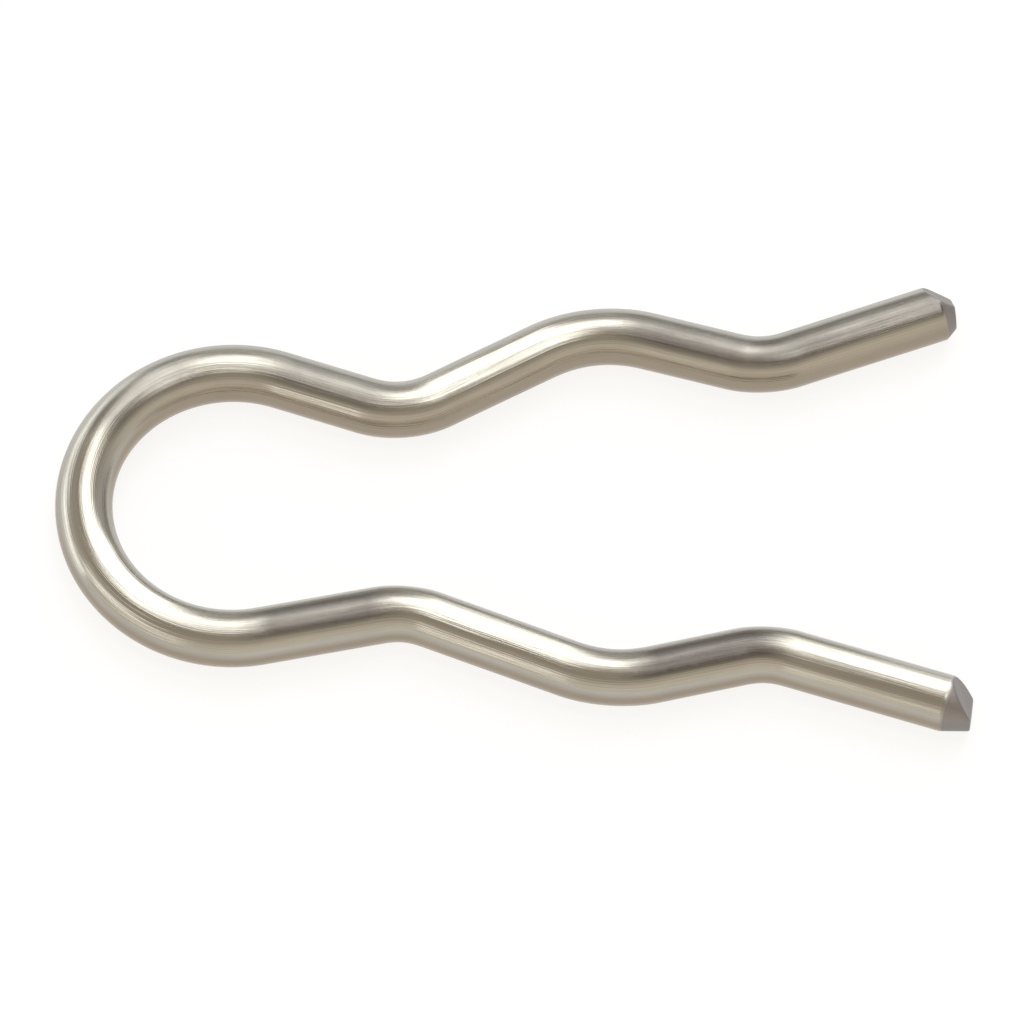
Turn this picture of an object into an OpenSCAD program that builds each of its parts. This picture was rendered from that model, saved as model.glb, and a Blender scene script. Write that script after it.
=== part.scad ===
// Hitch R clip pin with a double wave in each leg, bent from one length of round spring wire.
// The clip lies flat. +X runs from the loop to the free ends, +Y runs across the legs, and
// +Z points up from the surface that it lies on. The origin is under the centre of the loop.
// Each leg is a wire bender's program: straight feeds with a bend between each and the next.

/* [Wire] */
// Diameter of the spring wire
wire_d = 4; // [3:0.1:6]

/* [Bends] */
// Centreline radius of the loop
loop_r = 10.3; // [8:0.1:15]
// Centreline radii of the bends in each leg: first pinch, hump, second pinch
bend_radii = [6.7, 10.2, 7]; // [5:0.1:15]

/* [Far leg] */
// Degrees that the loop turns from its crown to the leg at +Y
far_wrap = 108.67; // [95:0.01:115]
// Degrees turned at the first pinch, the hump and the second pinch
far_turns = [46.75, 43.25, 34.91]; // [20:0.001:60]
// Straight wire after the loop, the first pinch and the hump
far_feeds = [6.1, 7.9, 6]; // [2:0.1:15]
// Straight wire from the second pinch to the free end
far_tail = 11.9; // [6:0.1:20]

/* [Near leg] */
// Degrees that the loop turns from its crown to the leg at -Y
near_wrap = 101.14; // [95:0.01:115]
// Degrees turned at the first pinch, the hump and the second pinch
near_turns = [32.947, 34.67, 30.72]; // [20:0.001:60]
// Straight wire after the loop, the first pinch and the hump
near_feeds = [8.2, 10, 6]; // [2:0.1:15]
// Straight wire from the second pinch to the free end
near_tail = 12.9; // [6:0.1:20]

/* [Cropped ends] */
// Depth of the chamfer round the far end
far_chamfer_depth = 0.7; // [0.1:0.05:0.7]
// Length of that chamfer along the wire
far_chamfer_length = 1.1; // [0.3:0.1:2.5]
// Depth of the bevel on the far end, as a share of the wire's diameter
far_bevel_share = 0.4; // [0.1:0.05:0.5]
// Degrees from that bevel to the run of the wire
far_bevel_angle = 41; // [28:1:60]
// Depth of the chamfer round the near end
near_chamfer_depth = 0.5; // [0.1:0.05:0.7]
// Length of that chamfer along the wire
near_chamfer_length = 1.8; // [0.3:0.1:2.5]
// Depth of the bevel on the near end, as a share of the wire's diameter
near_bevel_share = 0.5; // [0.1:0.05:0.5]
// Degrees from that bevel to the run of the wire
near_bevel_angle = 49; // [28:1:60]
// Degrees that the bevels face up from level, on the +Y sides of both ends
bevel_lean = 45; // [0:5:90]
// Degrees that the end faces turn from square with the wire, towards square with the clip
crop_skew = 11; // [0:1:20]

/* [Hidden] */
$fn = 96;
wire_r = wire_d / 2;

// Wire bent round the origin, from the angle start on
module arc(radius, start, angle) {
    rotate_extrude(start = start, angle = angle) translate([radius, 0]) circle(d = wire_d);
}

// Core inside a joint at the origin, so that a straight and a bend that only touch become one solid
module tie() {
    rotate([90, 0, 0]) cylinder(r = wire_r / 2, h = wire_r / 2, center = true);
}

// Straight wire along +Y from the origin, with what follows it at its end
module feed(length) {
    tie();
    rotate([-90, 0, 0]) cylinder(d = wire_d, h = length);
    translate([0, length, 0]) {
        tie();
        children();
    }
}

// Wire that sets off along +Y and turns left, or right where turn is negative
module bend(turn, radius) {
    side = sign(turn);
    translate([-side * radius, 0, 0]) {
        arc(radius, turn > 0 ? 0 : 180 + turn, abs(turn));
        rotate([0, 0, turn]) translate([side * radius, 0, 0]) children();
    }
}

// Everything ahead of a cut across the wire, which runs along +Y
module ahead() {
    reach = 3 * wire_d;
    translate([-reach, 0, -reach]) cube(2 * reach);
}

// Last straight of a leg: chamfered, cropped, and bevelled on the side that lean points to
module tail(length, chamfer_depth, chamfer_length, bevel_share, bevel_angle, lean) {
    tie();
    difference() {
        rotate([-90, 0, 0]) {
            cylinder(d = wire_d, h = length - chamfer_length);
            translate([0, 0, length - chamfer_length])
                cylinder(r1 = wire_r, r2 = wire_r - 2 * chamfer_depth, h = 2 * chamfer_length);
        }
        translate([0, length, 0]) {
            rotate([0, 0, -crop_skew]) ahead();
            rotate([0, -lean, 0]) translate([wire_r - bevel_share * wire_d, 0, 0])
                rotate([0, 0, bevel_angle - 90]) ahead();
        }
    }
}

// Leg on the +Y side, from where it leaves the loop to its tail
module leg(wrap, turns, feeds) {
    rotate([0, 0, -wrap]) translate([-loop_r, 0, 0]) feed(feeds[0])
        bend(turns[0], bend_radii[0]) feed(feeds[1])
        bend(-turns[1], bend_radii[1]) feed(feeds[2])
        bend(turns[2], bend_radii[2]) children();
}

module spring_wire() {
    color([0.75, 0.73, 0.67]) translate([0, 0, wire_r]) {
        arc(loop_r, 180 - far_wrap, far_wrap + near_wrap);
        leg(far_wrap, far_turns, far_feeds)
            tail(far_tail, far_chamfer_depth, far_chamfer_length, far_bevel_share, far_bevel_angle,
                180 - bevel_lean);
        mirror([0, 1, 0]) leg(near_wrap, near_turns, near_feeds)
            tail(near_tail, near_chamfer_depth, near_chamfer_length, near_bevel_share, near_bevel_angle,
                bevel_lean);
    }
}

spring_wire();
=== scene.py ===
"""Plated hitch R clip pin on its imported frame: wire swept along its bend program, its finish and a studio."""

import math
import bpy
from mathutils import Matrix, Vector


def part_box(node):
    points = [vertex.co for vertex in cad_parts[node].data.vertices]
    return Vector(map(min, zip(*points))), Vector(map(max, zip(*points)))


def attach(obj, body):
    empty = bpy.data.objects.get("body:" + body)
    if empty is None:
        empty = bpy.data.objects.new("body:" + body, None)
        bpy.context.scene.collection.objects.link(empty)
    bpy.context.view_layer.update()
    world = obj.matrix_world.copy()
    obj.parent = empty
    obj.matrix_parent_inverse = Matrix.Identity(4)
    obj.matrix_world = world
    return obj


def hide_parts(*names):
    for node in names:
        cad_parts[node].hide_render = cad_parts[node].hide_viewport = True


bl_info = {
    "name": "Hitch R Clip Pin",
    "version": (1, 0, 0),
    "blender": (4, 5, 0),
    "location": "3D View > Sidebar > R Clip",
    "description": "Builds a plated R clip with two waved legs, and the floor, lamps and camera that show it",
    "category": "Object",
}

from typing import NamedTuple

import bpy
from bpy.props import FloatProperty, FloatVectorProperty, IntProperty, PointerProperty
from mathutils import Vector

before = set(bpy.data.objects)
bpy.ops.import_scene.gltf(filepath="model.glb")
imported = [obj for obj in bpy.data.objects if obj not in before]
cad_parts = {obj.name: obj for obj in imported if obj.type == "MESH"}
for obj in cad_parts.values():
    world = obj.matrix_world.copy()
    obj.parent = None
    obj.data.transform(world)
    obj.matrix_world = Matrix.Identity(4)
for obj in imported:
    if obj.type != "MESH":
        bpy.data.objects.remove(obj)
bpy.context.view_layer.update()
WIRE_LOW, WIRE_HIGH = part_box("spring_wire")
WIRE_RADIUS = (WIRE_HIGH.z - WIRE_LOW.z) / 2
MM = 0.001
SIDES = ("Far", "Near")

# Attributes of the wire's points: place on the straightened wire, and whether on a cropped face
STRAIGHT = "straight"
CUT = "cut"

# Last stretch of each leg, where the rings are close together and follow the edge of the cropped end
TIP = 5.0 * MM
# Points this close are one point, which closes the grid's seam and its poles
SEAM_GAP = 0.002 * MM
# The row of the crown belongs to the far leg, and the half row before it to the near leg
LEG_SPLIT = -0.25
# Ways that the loop and then each bend of the far leg turn, 1 being left; the near leg mirrors them
BEND_WAYS = (-1, 1, -1, 1)

# Grains of noise to the metre, twice across the wire and once along it
RIPPLE_GRAIN = (420.0, 420.0, 130.0)
DIE_LINES = (14000.0, 14000.0, 60.0)
PATCHES = (500.0, 500.0, 160.0)
# Values of the noise between which the plating's small patches fade in
PATCH_SPAN = (0.35, 0.75)
# Grains of noise to the metre on the cropped faces, and the most plating that shows between them
CUT_GRAIN = 9000.0
CUT_MOTTLE = 0.3

# Distance each way from the crown over which the painted brown reflection and shade low on the wire rises from
# its near leg height to its higher far leg height
LEG_CHANGE = 20 * MM
# Heights above the middle of the wire, in wire radii: where the painted brown reflection and shade ends on each
# leg, and how softly
LOW_REFLECTION_HEIGHTS = (0.58, 0.8)
LOW_REFLECTION_FADE = 0.45
# Heights between which a dull run, rougher and painted darker in shade, fades in on the top of the wire, in
# wire radii
DULL_HEIGHTS = (0.79, 0.93)
# Where a dull run ends and where it is in full, in its own reaches from its middle, and how ragged that is
DULL_ENDS = (1.45, 0.65)
DULL_RAGGED = 0.3

# Share that the light behind the clip has in the light from its sides, and its growth towards the back
BACK_SHARE = 0.6
BACK_GROWTH = 0.9
# Sines of the elevations between which the room takes on its light from overhead
ROOM_HEIGHTS = (0.28, 0.87)


# ---------------------------------------------------------------- node trees


def maths(operation, swapped=False):
    """A method that adds a Math node, with its own value last where the operator's sides are swapped."""

    def apply(self, *others):
        values = [*others, self] if swapped else [self, *others]
        return self.tree.node("ShaderNodeMath", {"operation": operation}, values)[0]

    return apply


class Signal:
    """An output socket whose arithmetic adds Math nodes to its tree."""

    def __init__(self, tree, socket):
        self.tree, self.socket = tree, socket

    __add__ = maths("ADD")
    __radd__ = maths("ADD", swapped=True)
    __sub__ = maths("SUBTRACT")
    __rsub__ = maths("SUBTRACT", swapped=True)
    __mul__ = maths("MULTIPLY")
    __rmul__ = maths("MULTIPLY", swapped=True)
    __truediv__ = maths("DIVIDE")
    __rtruediv__ = maths("DIVIDE", swapped=True)
    __gt__ = maths("GREATER_THAN")
    __lt__ = maths("LESS_THAN")
    __abs__ = maths("ABSOLUTE")
    sine = maths("SINE")
    cosine = maths("COSINE")
    tangent = maths("TANGENT")
    rounded = maths("ROUND")
    least = maths("MINIMUM")
    most = maths("MAXIMUM")
    soft_least = maths("SMOOTH_MIN")

    def clamped(self):
        """The value held between 0 and 1."""
        return self.most(0.0).least(1.0)


class Tree:
    """Adds nodes to a shader or geometry node tree."""

    def __init__(self, tree):
        self.tree = tree

    def node(self, kind, settings=(), values=()):
        """Adds a node, sets its settings and then its sockets, and returns its outputs."""
        made = self.tree.nodes.new(kind)
        for name, value in dict(settings).items():
            setattr(made, name, value)
        pairs = values.items() if isinstance(values, dict) else enumerate(values)
        open_inputs = [s for s in made.inputs if s.enabled]
        for key, value in pairs:
            if isinstance(key, int):
                target = open_inputs[key]
            else:
                target = next(s for s in open_inputs if s.name == key)
            if isinstance(value, Signal):
                self.tree.links.new(value.socket, target)
            else:
                target.default_value = value
        return [Signal(self, s) for s in made.outputs if s.enabled]

    def vector(self, operation, *values):
        """The result of a Vector Math node."""
        return self.node("ShaderNodeVectorMath", {"operation": operation}, values)[0]

    def combine(self, x=0.0, y=0.0, z=0.0):
        """One vector from three numbers."""
        return self.node("ShaderNodeCombineXYZ", (), (x, y, z))[0]

    def separate(self, vector):
        """The three numbers of a vector."""
        return self.node("ShaderNodeSeparateXYZ", (), (vector,))

    def noise(self, vector, scale, detail=2.0, roughness=0.5):
        """Soft noise from 0 to 1 at these coordinates."""
        values = {"Vector": vector, "Scale": scale, "Detail": detail, "Roughness": roughness}
        return self.node("ShaderNodeTexNoise", {"noise_dimensions": "3D"}, values)[0]

    def between(self, value, low, high, out_low=0.0, out_high=1.0):
        """The value carried smoothly from low..high to out_low..out_high."""
        ranges = {"From Min": low, "From Max": high, "To Min": out_low, "To Max": out_high}
        settings = {"interpolation_type": "SMOOTHSTEP"}
        return self.node("ShaderNodeMapRange", settings, {"Value": value, **ranges})[0]

    def mix_colours(self, factor, a, b):
        """Colour a where the factor is 0, and colour b where it is 1."""
        values = {"Factor": factor, "A": a, "B": b}
        return self.node("ShaderNodeMix", {"data_type": "RGBA"}, values)[0]


def opaque(rgb):
    """A colour with its alpha, as a colour socket takes it."""
    return (*rgb, 1.0)


# ---------------------------------------------------------------- sizes and colours


def length(name, default, description):
    """A property for a length, with its default in millimetres."""
    return FloatProperty(name=name, description=description, default=default * MM, min=0.0, unit="LENGTH")


def angle(name, default, description):
    """A property for an angle, with its default in degrees."""
    return FloatProperty(name=name, description=description, default=math.radians(default), unit="ROTATION")


def row_property(name, values, description, unit):
    """A property for a row of like values, in Blender's own units."""
    settings = {"name": name, "description": description, "unit": unit}
    return FloatVectorProperty(size=len(values), default=values, **settings)


def lengths(name, defaults, description):
    """A property for a row of lengths, with its defaults in millimetres."""
    return row_property(name, [x * MM for x in defaults], description, "LENGTH")


def angles(name, defaults, description):
    """A property for a row of angles, with its defaults in degrees."""
    return row_property(name, [math.radians(x) for x in defaults], description, "ROTATION")


def share(name, default, description, most=1.0):
    """A property for a number from 0 up to most."""
    return FloatProperty(name=name, description=description, default=default, min=0.0, max=most)


def count(name, default, least, most, description):
    """A property for a whole number."""
    return IntProperty(name=name, description=description, default=default, min=least, max=most)


def colour(name, default, description):
    """A property for a colour."""
    return FloatVectorProperty(name=name, description=description, subtype="COLOR", size=3, default=default)


def leg_sizes(wrap, turns, feeds, chamfer, bevel, lean):
    """The properties of one leg, from the crown of the loop to its cropped end, with its own defaults."""
    chamfer_depth, chamfer_length = chamfer
    bevel_share, bevel_angle = bevel
    return {
        "wrap": angle("Wrap", wrap, "Turn of the loop from its crown to this leg"),
        "turns": angles("Turns", turns, "Turns at the first pinch, the hump and the second pinch"),
        "feeds": lengths("Feeds", feeds, "Straight wire after the loop and after each bend"),
        "chamfer_depth": length("Chamfer Depth", chamfer_depth, "Depth of the chamfer round the end"),
        "chamfer_length": length("Chamfer Length", chamfer_length, "Length of the chamfer along the wire"),
        "bevel_share": share("Bevel Share", bevel_share, "Depth of the bevel, in wire diameters"),
        "bevel_angle": angle("Bevel Angle", bevel_angle, "Angle of the bevel from the run of the wire"),
        "bevel_lean": angle("Bevel Lean", lean, "Direction of the bevel, up from level on the inner side"),
    }


class FarLeg(bpy.types.PropertyGroup):
    """The leg on the +Y side."""

    __annotations__ = leg_sizes(
        wrap=108.67,
        turns=(46.75, 43.25, 34.91),
        feeds=(6.1, 7.9, 6.0, 11.9),
        chamfer=(0.7, 1.1),
        bevel=(0.4, 41),
        lean=135,
    )


class NearLeg(bpy.types.PropertyGroup):
    """The leg on the -Y side."""

    __annotations__ = leg_sizes(
        wrap=101.14,
        turns=(32.947, 34.67, 30.72),
        feeds=(8.2, 10.0, 6.0, 12.9),
        chamfer=(0.5, 1.8),
        bevel=(0.5, 49),
        lean=45,
    )


class WireSizes(bpy.types.PropertyGroup):
    """Sizes that both legs share."""

    diameter: length("Wire Diameter", 2 * WIRE_RADIUS / MM, "Diameter of the spring wire")
    loop_radius: length("Loop Radius", 10.3, "Centreline radius of the loop")
    bend_radii: lengths("Bend Radii", (6.7, 10.2, 7.0), "Centreline radii of the two pinches and the hump")
    crop_skew: angle("Crop Skew", 11, "Turn of the end faces from square with the wire")
    edge_round: length("Edge Rounding", 0.12, "How far the edges of the end facets are blended")
    bend_squash: share("Bend Squash", 0.02, "Share of its width that the wire loses in each bend", most=0.1)
    ripple: length("Ripple", 0.010, "Depth of the drawn wire's long shallow waves")
    far: PointerProperty(type=FarLeg)
    near: PointerProperty(type=NearLeg)
    sides: count("Sides", 80, 16, 160, "Faces round the wire")
    body_rows: count("Leg Rows", 330, 50, 1000, "Rings from the crown to the last stretch of each leg")
    tip_rows: count("Tip Rows", 44, 10, 200, "Rings in the last stretch of each leg")
    cap_rows: count("Cap Rows", 26, 6, 100, "Rings across each cropped end")


class WireFinish(bpy.types.PropertyGroup):
    """Colours and gloss of the plating and of the cropped ends, with the painted shade on top of the dull runs
    and the painted brown reflection and shade low on the wire.
    """

    plating: colour("Plating", (0.455, 0.445, 0.395), "Colour that the plating reflects")
    # Painted brown reflection and shade on the lower side of the wire
    handled: colour("Handled", (0.330, 0.277, 0.212), "Painted brown reflection and shade low on the wire")
    # Painted shade on top of the dull runs, which dims their highlights; also the colour that the random
    # patches darken towards
    tarnish: colour("Tarnish", (0.127, 0.120, 0.111), "Painted shade on the dull runs, and the colour that patches darken towards")
    cut_steel: colour("Cut Steel", (0.25, 0.232, 0.228), "Colour of the cropped faces")
    gloss: share("Plating Roughness", 0.16, "Roughness of the brightest plating")
    # Past 0.27, the renderer's denoiser takes the plating for another surface and draws a line round it.
    dull: share("Dull Run Roughness", 0.268, "Roughness of the dullest plating")
    cut_rough: share("Cut Roughness", 0.45, "Roughness of the cropped faces")
    patch_dark: share("Patch Darkness", 0.12, "How far small patches of the plating have darkened")
    patch_dull: share("Patch Dullness", 0.3, "How far small patches of the plating have lost their gloss")
    die_depth: length("Die Line Depth", 0.016, "Depth of the lines that the drawing die left")


class Studio(bpy.types.PropertyGroup):
    """The camera, the floor and the room."""

    target: lengths("Target", (19.33, -0.5, 2.0), "Middle of the clip, which the camera and the lamps face")
    elevation: angle("Elevation", 63, "Height of the camera above level")
    distance: length("Distance", 1600, "Distance from the camera to the clip")
    frame_width: length("Frame Width", 70.86, "Width of what the camera sees at the clip")
    floor: colour("Floor", (0.76, 0.74, 0.71), "Colour of the floor, as it lights the clip")
    floor_shade: colour("Floor Shade", (0.16, 0.165, 0.19), "Depth of the clip's shadow on the white floor")
    floor_white: colour("Floor White", (0.86, 0.855, 0.83), "White that the floor shows in full shadow")
    room_front: colour("Room in Front", (0.98, 0.88, 0.75), "Light of the room low on the camera's side")
    room_back: colour("Room Behind", (0.63, 0.60, 0.575), "Light of the room low behind the clip")
    room_high: colour("Room Overhead", (0.50, 0.43, 0.355), "Light of the room overhead")


class Lamp(NamedTuple):
    """A soft lamp as the clip sees it, with its angles in degrees and its distance in metres."""

    azimuth: float  # clockwise from +Y, seen from above
    elevation: float
    distance: float
    half_width: float
    half_height: float
    roll: float  # about the line from the lamp to the clip
    glow: float  # brightness of its face, where 1 is white


LAMPS = {
    "window": Lamp(24, 40, 3.0, 14.5, 25.5, 5, 2.65),
    "left_panel": Lamp(-52, 74, 3.0, 5.5, 9.5, 56, 2.95),
    "right_panel": Lamp(93, 78, 1.2, 4.5, 12.0, 65, 4.0),
    "back_strip": Lamp(-11, 48, 2.5, 4.5, 26.0, -12, 2.8),
    "left_fill": Lamp(-123, 27, 3.0, 29.0, 6.0, 8, 1.35),
    "left_wall": Lamp(-59, 8, 2.0, 37.0, 7.5, 0, 1.85),
    "overhead": Lamp(-94, 80, 0.13, 6.5, 5.0, -120, 2.15),
}


class DullShadedRun(NamedTuple):
    """A run of the wire that is rougher on top and painted darker there in shade, with its lengths in
    millimetres.
    """

    middle: float  # from the crown, positive on the far leg
    reach: float  # from its middle to where it is half as dull
    depth: float  # how dull it is, from 0 to 1


# Runs whose tops are made rougher and painted darker in shade
DULL_SHADED_RUNS = {
    "far tail": DullShadedRun(61.5, 7.5, 0.75),
    "far inward run": DullShadedRun(49.5, 4.0, 0.8),
    "far shoulder": DullShadedRun(23.0, 4.0, 0.65),
    "far side of the loop": DullShadedRun(9.5, 4.0, 0.55),
    "near shoulder": DullShadedRun(-22.5, 4.5, 0.85),
    "near inward run": DullShadedRun(-50.0, 4.5, 0.95),
}


# ---------------------------------------------------------------- the wire


class WireTree(Tree):
    """The geometry nodes that sweep the wire along its bend program."""

    def __init__(self):
        super().__init__(bpy.data.node_groups.new("Bent Wire", "GeometryNodeTree"))
        self.tree.interface.new_socket("Geometry", in_out="OUTPUT", socket_type="NodeSocketGeometry")
        self.sockets = {}
        self.source = None

    def declare(self, name, value, kind="Float"):
        """Adds a named input to the tree, and keeps the value that the modifier is to give it."""
        socket = self.tree.interface.new_socket(name, in_out="INPUT", socket_type=f"NodeSocket{kind}")
        self.sockets[name] = (socket.identifier, value)

    def open(self):
        """Puts the group's inputs in the tree by name."""
        names = list(self.sockets)
        outputs = self.node("NodeGroupInput")
        self.source = dict(zip(names, outputs))

    def leg_value(self, name, is_far):
        """A size of the leg that a point is on."""
        far, near = (self.source[f"{side} {name}"] for side in SIDES)
        return near + (far - near) * is_far

    def ramp(self, along, start, span):
        """How far a point is through a stretch of the wire, from 0 to 1."""
        return ((along - start) / span).clamped()


def declare_inputs(tree, sizes, finish):
    """Every size that the wire's tree takes."""
    tree.declare("Wire Diameter", sizes.diameter)
    tree.declare("Loop Radius", sizes.loop_radius)
    for name, value in zip(("First Pinch", "Hump", "Second Pinch"), sizes.bend_radii):
        tree.declare(f"{name} Radius", value)
    for side, leg in zip(SIDES, (sizes.far, sizes.near)):
        tree.declare(f"{side} Wrap", leg.wrap)
        for number, value in enumerate(leg.turns, 1):
            tree.declare(f"{side} Turn {number}", value)
        for number, value in enumerate(leg.feeds, 1):
            tree.declare(f"{side} Feed {number}", value)
        tree.declare(f"{side} Chamfer Depth", leg.chamfer_depth)
        tree.declare(f"{side} Chamfer Length", leg.chamfer_length)
        tree.declare(f"{side} Bevel Share", leg.bevel_share)
        tree.declare(f"{side} Bevel Angle", leg.bevel_angle)
        tree.declare(f"{side} Bevel Lean", leg.bevel_lean)
    tree.declare("Crop Skew", sizes.crop_skew)
    tree.declare("Edge Rounding", sizes.edge_round)
    tree.declare("Bend Squash", sizes.bend_squash)
    tree.declare("Ripple", sizes.ripple)
    for name in ("sides", "body_rows", "tip_rows", "cap_rows"):
        tree.declare(name.replace("_", " ").title(), getattr(sizes, name), "Int")
    tree.declare("Finish", finish, "Material")


class Station:
    """A row of the sweep: the leg that it is on, its distance from the crown and how the wire runs there."""

    def __init__(self, tree, row):
        self.tree = tree
        self.is_far = row > LEG_SPLIT
        self.side = self.is_far * 2 - 1
        self.bends, self.leg = self.stretches()
        self.body = self.leg - TIP
        on_body = tree.ramp(abs(row), 0, tree.source["Body Rows"]) * self.body
        on_tip = tree.ramp(abs(row), tree.source["Body Rows"], tree.source["Tip Rows"]) * TIP
        self.along = on_body + on_tip

    def stretches(self):
        """Turn, start and length of each bend of the leg, and the length of the leg."""
        source, size = self.tree.source, self.tree.leg_value
        radii = [source[f"{name} Radius"] for name in ("Loop", "First Pinch", "Hump", "Second Pinch")]
        turns = [size(name, self.is_far) for name in ("Wrap", "Turn 1", "Turn 2", "Turn 3")]
        feeds = [size(f"Feed {number}", self.is_far) for number in (1, 2, 3, 4)]
        bends, reached = [], 0.0
        for turn, radius, feed in zip(turns, radii, feeds):
            bends.append((turn, reached, turn * radius))
            reached = feed + turn * radius + reached
        return bends, reached

    def heading(self):
        """Which way the wire runs, towards the far tip."""
        turned = math.pi / 2
        for (turn, start, span), way in zip(self.bends, BEND_WAYS):
            turned = turn * self.tree.ramp(self.along, start, span) * way + turned
        return self.tree.combine(turned.cosine() * self.side, turned.sine())

    def squash(self):
        """How hard the bender pressed the wire: 0 at the ends of each bend of the leg, 1 in its middle."""
        pressed = 0.0
        for _, start, span in self.bends[1:]:
            through = self.tree.ramp(self.along, start, span)
            bulge = through * (1 - through) * 4
            pressed = bulge * bulge + pressed
        return pressed


def tip_limit(tree, is_far, inner, up, radius):
    """How far past the nominal end a point of the section may reach, by chamfer, crop and bevel."""
    source = tree.source
    wire_radius = source["Wire Diameter"] * 0.5
    rounding = source["Edge Rounding"]
    chamfer = tree.leg_value("Chamfer Length", is_far)
    cone = (wire_radius - radius) * chamfer / tree.leg_value("Chamfer Depth", is_far) - chamfer
    crop = inner * source["Crop Skew"].tangent() * -1
    lean = tree.leg_value("Bevel Lean", is_far)
    towards = inner * lean.cosine() + up * lean.sine()
    face = wire_radius - tree.leg_value("Bevel Share", is_far) * source["Wire Diameter"]
    bevel = (face - towards) / tree.leg_value("Bevel Angle", is_far).tangent()
    return cone.soft_least(crop, rounding).soft_least(bevel, rounding)


def swept_path(tree, row, column):
    """Centreline of the wire at a row: steps from the crown, each along the heading at its own middle."""
    middle = Station(tree, row + 0.5)
    step_length = abs(Station(tree, row + 1).along - Station(tree, row).along)
    step = tree.vector("SCALE", middle.heading(), step_length)
    near_step = tree.vector("SCALE", step, 1 - middle.is_far)

    def summed(value):
        """The value summed along its column: to and with the point, to before it, and over the whole."""
        settings = {"data_type": "FLOAT_VECTOR", "domain": "POINT"}
        return tree.node("GeometryNodeAccumulateField", settings, {"Value": value, "Group ID": column})

    _, from_near_tip, _ = summed(step)
    _, _, near_leg = summed(near_step)
    crown = tree.combine(tree.source["Loop Radius"] * -1, 0.0, tree.source["Wire Diameter"] * 0.5)
    return tree.vector("ADD", tree.vector("SUBTRACT", from_near_tip, near_leg), crown)


def placed_section(tree, row, column, place):
    """A point's place from the path and on the straightened wire, and whether it is on a cropped face."""
    source = tree.source
    angle_round = column * math.tau / source["Sides"]
    cap = tree.ramp(abs(row), source["Body Rows"] + source["Tip Rows"], source["Cap Rows"])
    wire_radius = source["Wire Diameter"] * 0.5
    radius = wire_radius * (1 - cap)
    inner = radius * angle_round.cosine()
    up = radius * angle_round.sine()

    # The rows near the end move along the wire, so that the last ring of the round wire lies on the
    # edge of the cropped end.
    limit = tip_limit(tree, place.is_far, inner, up, radius)
    shift = limit * tree.ramp(place.along, place.body, TIP)
    straight = tree.combine(inner, up, (place.along + shift) * place.side)

    wave = tree.noise(tree.vector("MULTIPLY", straight, RIPPLE_GRAIN), 1.0, 1.0)
    relief = 1 - (1 - wave) * source["Ripple"] / wire_radius
    across = inner * relief * (1 - place.squash() * source["Bend Squash"])
    ahead = shift * place.side
    heading_x, heading_y, _ = tree.separate(place.heading())
    offset_x = heading_y * across + heading_x * ahead
    offset_y = heading_y * ahead - heading_x * across
    return tree.combine(offset_x, offset_y, up * relief), straight, (cap * source["Cap Rows"]).clamped()


def build_wire_tree(sizes, finish):
    """The tree that turns a grid of rows and columns into the bent wire."""
    tree = WireTree()
    declare_inputs(tree, sizes, finish)
    tree.open()
    source = tree.source
    half = source["Body Rows"] + source["Tip Rows"] + source["Cap Rows"]
    counts = {"Vertices X": half * 2 + 1, "Vertices Y": source["Sides"] + 1}
    grid, uv = tree.node("GeometryNodeMeshGrid", (), {"Size X": 1.0, "Size Y": 1.0, **counts})
    on_grid = tree.separate(tree.node("GeometryNodeInputPosition")[0])
    row = (on_grid[0] * half * 2).rounded()
    column = ((on_grid[1] + 0.5) * source["Sides"]).rounded()

    path = swept_path(tree, row, column)
    offset, straight, cut = placed_section(tree, row, column, Station(tree, row))

    # The attributes are stored on the flat grid, because every row and column is read from its place there.
    shape = grid
    for name, kind, domain, value in (
        ("UVMap", "FLOAT2", "CORNER", uv),
        (STRAIGHT, "FLOAT_VECTOR", "POINT", straight),
        (CUT, "FLOAT", "POINT", cut),
    ):
        settings = {"data_type": kind, "domain": domain}
        values = {"Geometry": shape, "Name": name, "Value": value}
        shape = tree.node("GeometryNodeStoreNamedAttribute", settings, values)[0]
    place = {"Geometry": shape, "Position": tree.vector("ADD", path, offset)}
    swept = tree.node("GeometryNodeSetPosition", (), place)[0]
    closed = tree.node("GeometryNodeMergeByDistance", (), {"Geometry": swept, "Distance": SEAM_GAP})[0]
    smooth = tree.node("GeometryNodeSetShadeSmooth", (), {"Geometry": closed})[0]
    real = tree.node("GeometryNodeRealizeInstances", (), {"Geometry": smooth})[0]
    painted = tree.node("GeometryNodeSetMaterial", (), {"Geometry": real, "Material": source["Finish"]})[0]
    tree.node("NodeGroupOutput", (), {"Geometry": painted})
    return tree


def baked_wire(sizes, finish):
    """Runs the wire's tree on an empty mesh and returns the result as a plain mesh object."""
    tree = build_wire_tree(sizes, finish)
    wire = bpy.data.objects.new("bent_spring_wire", bpy.data.meshes.new("bent_spring_wire"))
    bpy.context.scene.collection.objects.link(wire)
    modifier = wire.modifiers.new("Bent Wire", "NODES")
    modifier.node_group = tree.tree
    for identifier, value in tree.sockets.values():
        modifier[identifier] = value
    evaluated = wire.evaluated_get(bpy.context.evaluated_depsgraph_get())
    mesh = bpy.data.meshes.new_from_object(evaluated)
    wire.modifiers.remove(modifier)
    wire.data = mesh
    mesh.name = wire.name
    return wire


# ---------------------------------------------------------------- finishes


def new_material(name):
    """An empty material, and the tree to add its nodes to."""
    material = bpy.data.materials.new(name)
    material.use_nodes = True
    material.node_tree.nodes.clear()
    return material, Tree(material.node_tree)


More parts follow.
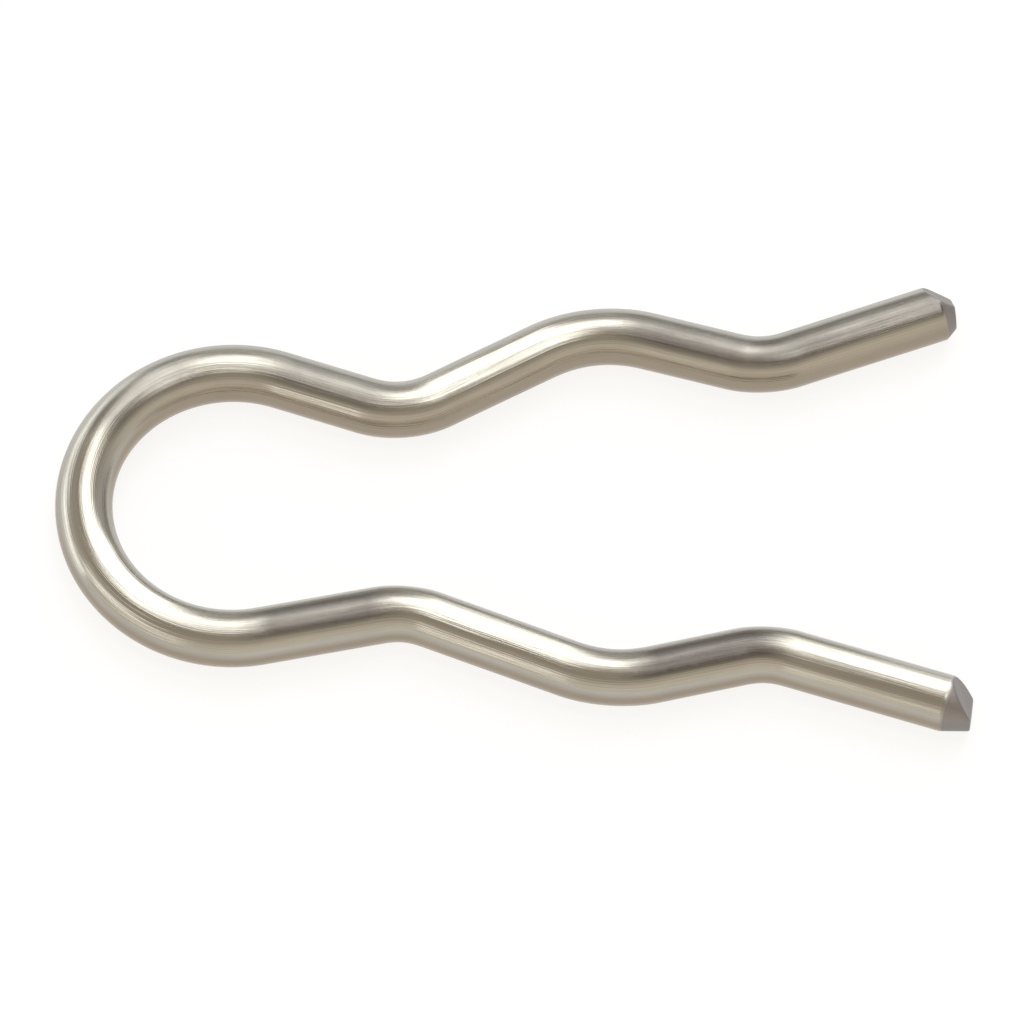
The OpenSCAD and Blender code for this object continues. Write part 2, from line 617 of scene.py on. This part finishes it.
def dull_shaded_runs(tree, along, height, patches):
    """How rough the top of the wire is along its dull runs, and how darkly it is painted there in shade, with
    long ragged ends.
    """
    ragged = (patches - 0.5) * DULL_RAGGED
    dull = 0.0
    for run in DULL_SHADED_RUNS.values():
        off = abs(along - run.middle * MM) / (run.reach * MM) + ragged
        dull = (tree.between(off, *DULL_ENDS) * run.depth).most(dull)
    return dull * tree.between(height, *DULL_HEIGHTS)


def plated_wire(finish):
    """Bright plating over drawn wire, with die lines, dull runs painted in shade on top, patches, a painted
    brown reflection and shade low on the wire, and bare cropped faces.
    """
    material, tree = new_material("plated_wire")
    straight = tree.node("ShaderNodeAttribute", {"attribute_name": STRAIGHT})[1]
    cut = tree.node("ShaderNodeAttribute", {"attribute_name": CUT})[2]
    _, up, along = tree.separate(straight)
    height = up / WIRE_RADIUS

    die_lines = tree.noise(tree.vector("MULTIPLY", straight, DIE_LINES), 1.0)
    clouds = tree.noise(tree.vector("MULTIPLY", straight, PATCHES), 1.0, 3.0, 0.6)
    patches = tree.between(clouds, *PATCH_SPAN)
    grain = tree.noise(straight, CUT_GRAIN, 3.0, 0.6)

    dull = dull_shaded_runs(tree, along, height, patches)
    # The lower side of the wire is painted in a brown reflection and shade, reaching higher on the far leg
    reflection_top = tree.between(along, -LEG_CHANGE, LEG_CHANGE, *LOW_REFLECTION_HEIGHTS)
    low = tree.between(height - reflection_top, 0.0, -LOW_REFLECTION_FADE)
    reflected_plating = tree.mix_colours(low, opaque(finish.plating), opaque(finish.handled))
    # The dull runs are painted darker on top in shade, and the patches darken at random
    shade_and_patch_dark = (dull + patches * finish.patch_dark).clamped()
    plating = tree.mix_colours(shade_and_patch_dark, reflected_plating, opaque(finish.tarnish))
    bare = cut * ((1 - CUT_MOTTLE) + grain * CUT_MOTTLE)
    base = tree.mix_colours(bare, plating, opaque(finish.cut_steel))
    dulled = (dull + patches * finish.patch_dull).clamped()
    plating_rough = finish.gloss + dulled * (finish.dull - finish.gloss)
    roughness = plating_rough + (finish.cut_rough - plating_rough) * cut
    relief = {"Strength": 1.0, "Distance": finish.die_depth, "Height": die_lines + grain * cut}
    bump = tree.node("ShaderNodeBump", (), relief)[0]
    values = {"Base Color": base, "Metallic": 1.0, "Roughness": roughness, "Normal": bump}
    shader = tree.node("ShaderNodeBsdfPrincipled", (), values)[0]
    tree.node("ShaderNodeOutputMaterial", (), {"Surface": shader})
    return material


def pale_floor(studio):
    """A pale floor that lights the clip plainly, and shows white with the clip's faint shadow on it."""
    material, tree = new_material("pale_floor")
    camera, _, _, glossy, _, _, transmission, *_ = tree.node("ShaderNodeLightPath")
    shows_white = camera.most(glossy).most(transmission)
    lit = tree.node("ShaderNodeBsdfDiffuse", (), {"Color": opaque(studio.floor)})[0]
    shaded = tree.node("ShaderNodeBsdfDiffuse", (), {"Color": opaque(studio.floor_shade)})[0]
    white = tree.node("ShaderNodeEmission", (), {"Color": opaque(studio.floor_white), "Strength": 1.0})[0]
    seen = tree.node("ShaderNodeAddShader", (), (shaded, white))[0]
    surface = tree.node("ShaderNodeMixShader", (), (shows_white, lit, seen))[0]
    tree.node("ShaderNodeOutputMaterial", (), {"Surface": surface})
    return material


# ---------------------------------------------------------------- stage


def aim(obj, place, target):
    """Puts a lamp or camera at a place, looking at the target."""
    obj.location = place
    obj.rotation_euler = (Vector(target) - Vector(place)).to_track_quat("-Z", "Y").to_euler()


def direction(azimuth, elevation):
    """Unit vector towards an azimuth from +Y, clockwise seen from above, and an elevation, in degrees."""
    round_clip, above = math.radians(azimuth), math.radians(elevation)
    level = math.cos(above)
    return Vector((math.sin(round_clip) * level, math.cos(round_clip) * level, math.sin(above)))


def hang_lamp(name, lamp, target):
    """Hangs a flat soft lamp that faces the clip, and that the camera doesn't see."""
    light = bpy.data.lights.new(name, "AREA")
    light.shape = "RECTANGLE"
    light.size = 2 * lamp.distance * math.tan(math.radians(lamp.half_width))
    light.size_y = 2 * lamp.distance * math.tan(math.radians(lamp.half_height))
    # A face sends out pi times its glow over each square metre.
    light.energy = lamp.glow * math.pi * light.size * light.size_y
    hung = bpy.data.objects.new(name, light)
    bpy.context.scene.collection.objects.link(hung)
    aim(hung, target + direction(lamp.azimuth, lamp.elevation) * lamp.distance, target)
    hung.rotation_euler.rotate_axis("Z", -math.radians(lamp.roll))
    hung.visible_camera = False


def make_world(studio):
    """A plain room, darker overhead, and darker behind the clip than on the camera's side."""
    world = bpy.data.worlds.new("studio")
    world.use_nodes = True
    world.node_tree.nodes.clear()
    bpy.context.scene.world = world
    tree = Tree(world.node_tree)
    _, back, height = tree.separate(tree.node("ShaderNodeTexCoord")[0])
    behind = (back * BACK_GROWTH + BACK_SHARE).clamped()
    overhead = tree.between(height, *ROOM_HEIGHTS)
    low = tree.mix_colours(behind, opaque(studio.room_front), opaque(studio.room_back))
    room = tree.mix_colours(overhead, low, opaque(studio.room_high))
    surface = tree.node("ShaderNodeBackground", (), {"Color": room, "Strength": 1.0})[0]
    tree.node("ShaderNodeOutputWorld", (), {"Surface": surface})


def make_camera(studio, target):
    """The camera, in front of the near leg and looking down on the clip."""
    data = bpy.data.cameras.new("camera")
    data.sensor_width = 36.0
    data.lens = data.sensor_width * studio.distance / studio.frame_width
    data.clip_start, data.clip_end = 0.05, 10.0
    camera = bpy.data.objects.new("camera", data)
    bpy.context.scene.collection.objects.link(camera)
    back = Vector((0.0, -math.cos(studio.elevation), math.sin(studio.elevation)))
    aim(camera, target + back * studio.distance, target)
    bpy.context.scene.camera = camera


def make_floor(studio):
    """A flat floor at the level that the clip lies on."""
    mesh = bpy.data.meshes.new("floor")
    reach = 3.0
    corners = [(-reach, -reach, 0.0), (reach, -reach, 0.0), (reach, reach, 0.0), (-reach, reach, 0.0)]
    mesh.from_pydata(corners, [], [(0, 1, 2, 3)])
    mesh.materials.append(pale_floor(studio))
    floor = bpy.data.objects.new("floor", mesh)
    bpy.context.scene.collection.objects.link(floor)


# ---------------------------------------------------------------- operators and panel


class RCLIP_OT_spring_wire(bpy.types.Operator):
    """Sweep the spring wire along its bend program and plate it"""

    bl_idname = "rclip.spring_wire"
    bl_label = "Spring Wire"

    def execute(self, context):
        scene = context.scene
        wire = baked_wire(scene.rclip_wire, plated_wire(scene.rclip_finish))
        if not wire.data.polygons:
            raise RuntimeError("the wire's nodes made no faces")
        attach(wire, "root")
        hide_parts("spring_wire")
        return {"FINISHED"}


class RCLIP_OT_stage(bpy.types.Operator):
    """Lay the floor, hang the lamps and set the camera"""

    bl_idname = "rclip.stage"
    bl_label = "Stage"

    def execute(self, context):
        studio = context.scene.rclip_studio
        target = Vector(studio.target)
        make_floor(studio)
        for name, lamp in LAMPS.items():
            hang_lamp(name, lamp, target)
        make_world(studio)
        make_camera(studio, target)
        context.scene.view_settings.view_transform = "Standard"
        return {"FINISHED"}


def draw_sizes(layout, title, group):
    """Lists a group's values in a box, with any group inside it in a box of its own."""
    box = layout.box()
    box.label(text=title)
    for name in group.__annotations__:
        value = getattr(group, name)
        if isinstance(value, bpy.types.PropertyGroup):
            draw_sizes(box, name.title(), value)
        else:
            box.prop(group, name)


class RCLIP_PT_clip(bpy.types.Panel):
    """Lists the steps that build the clip and its stage, and their sizes"""

    bl_idname = "RCLIP_PT_clip"
    bl_label = "R Clip"
    bl_space_type = "VIEW_3D"
    bl_region_type = "UI"
    bl_category = "R Clip"

    def draw(self, context):
        for operator in OPERATORS:
            self.layout.operator(operator.bl_idname)
        for name in GROUPS:
            draw_sizes(self.layout, name.removeprefix("rclip_").title(), getattr(context.scene, name))


OPERATORS = (RCLIP_OT_spring_wire, RCLIP_OT_stage)
GROUPS = {"rclip_wire": WireSizes, "rclip_finish": WireFinish, "rclip_studio": Studio}


def register():
    for cls in (FarLeg, NearLeg, *GROUPS.values(), *OPERATORS, RCLIP_PT_clip):
        bpy.utils.register_class(cls)
    for name, group in GROUPS.items():
        setattr(bpy.types.Scene, name, PointerProperty(type=group))


def unregister():
    for name in GROUPS:
        delattr(bpy.types.Scene, name)
    for cls in (RCLIP_PT_clip, *OPERATORS, *reversed(GROUPS.values()), NearLeg, FarLeg):
        bpy.utils.unregister_class(cls)


def main():
    register()
    bpy.ops.rclip.spring_wire()
    bpy.ops.rclip.stage()


if __name__ == "__main__":
    main()
